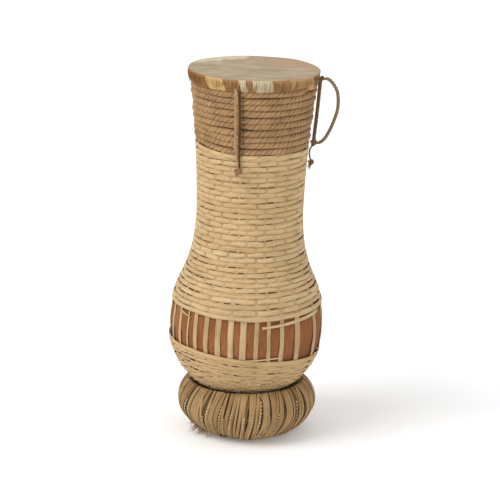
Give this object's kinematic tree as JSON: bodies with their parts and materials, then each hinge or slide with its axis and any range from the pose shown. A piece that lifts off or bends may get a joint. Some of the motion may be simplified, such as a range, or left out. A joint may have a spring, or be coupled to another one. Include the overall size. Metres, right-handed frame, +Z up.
{
  "type": "hand drum",
  "caption": "Bottle-shaped clay hand drum in a plain-woven splint jacket, with a rope-lashed hide head and cord loop, standing loose in a bound straw pot ring.",
  "frame": {"origin": "on the floor under the centre of the bounding box; the drum's own axis is 6.3 mm to the left of it, at X = -6.3 mm", "axes": "+Z up along the drum's axis, front of the drum towards -Y, carrying loop towards +X"},
  "size_m": [0.2149, 0.2024, 0.5],
  "materials": {
    "clay": "matte fired clay, red-brown",
    "hide": "scraped rawhide with hair patches on the skirt",
    "rope": "coarse three-strand plant fibre rope",
    "splint": "split cane, satin",
    "straw": "dry straw bundle",
    "bark": "dry bark strip, matte",
    "cord": "thin twisted plant fibre cord"
  },
  "bodies": {
    "ring_stand": {"ring_core": "straw", "ring_binding": "bark"},
    "drum": {"pot_shell": "clay", "head_skin": "hide", "lashing_rope": "rope", "lower_weave": "splint", "upper_weave": "splint", "stake_01": "splint", "stake_02": "splint", "stake_03": "splint", "stake_04": "splint", "stake_05": "splint", "stake_06": "splint", "stake_07": "splint", "stake_08": "splint", "stake_09": "splint", "stake_10": "splint", "stake_11": "splint", "stake_12": "splint", "stake_13": "splint", "stake_14": "splint", "stake_15": "splint", "stake_16": "splint", "stake_17": "splint", "stake_18": "splint", "stake_19": "splint", "stake_20": "splint", "stake_21": "splint", "stake_22": "splint", "stake_23": "splint", "stake_24": "splint", "stake_25": "splint", "stake_26": "splint", "stake_27": "splint", "stake_28": "splint", "stake_29": "splint", "handle_strand": "cord", "handle_top_knot": "cord", "handle_lower_knot": "cord"},
    "handle": {"handle_loop": "cord"},
    "front_tail": {"front_tail_left_cord": "cord", "front_tail_right_cord": "cord", "front_tail_knot": "cord"},
    "side_tail": {"side_tail_cord": "cord", "side_tail_knot": "cord"}
  },
  "joints": [
    {"name": "drum_lift", "type": "slide", "parent": "ring_stand", "child": "drum", "axis": [0, 0, 1], "range_m": [0, 0.1]},
    {"name": "handle_swing", "type": "hinge", "parent": "drum", "child": "handle", "pos_m": [0.0755, 0, 0.4064], "axis": [0.0845, 0, 0.9964], "range_deg": [-85, 85]},
    {"name": "front_tail_swing", "type": "hinge", "parent": "drum", "child": "front_tail", "pos_m": [-0.02802, -0.08713, 0.485], "axis": [-0.9703, 0.2419, 0], "range_deg": [0, 100]},
    {"name": "side_tail_swing", "type": "hinge", "parent": "drum", "child": "side_tail", "pos_m": [0.07455, 0, 0.39726], "axis": [0, -1, 0], "range_deg": [0, 90]}
  ]
}
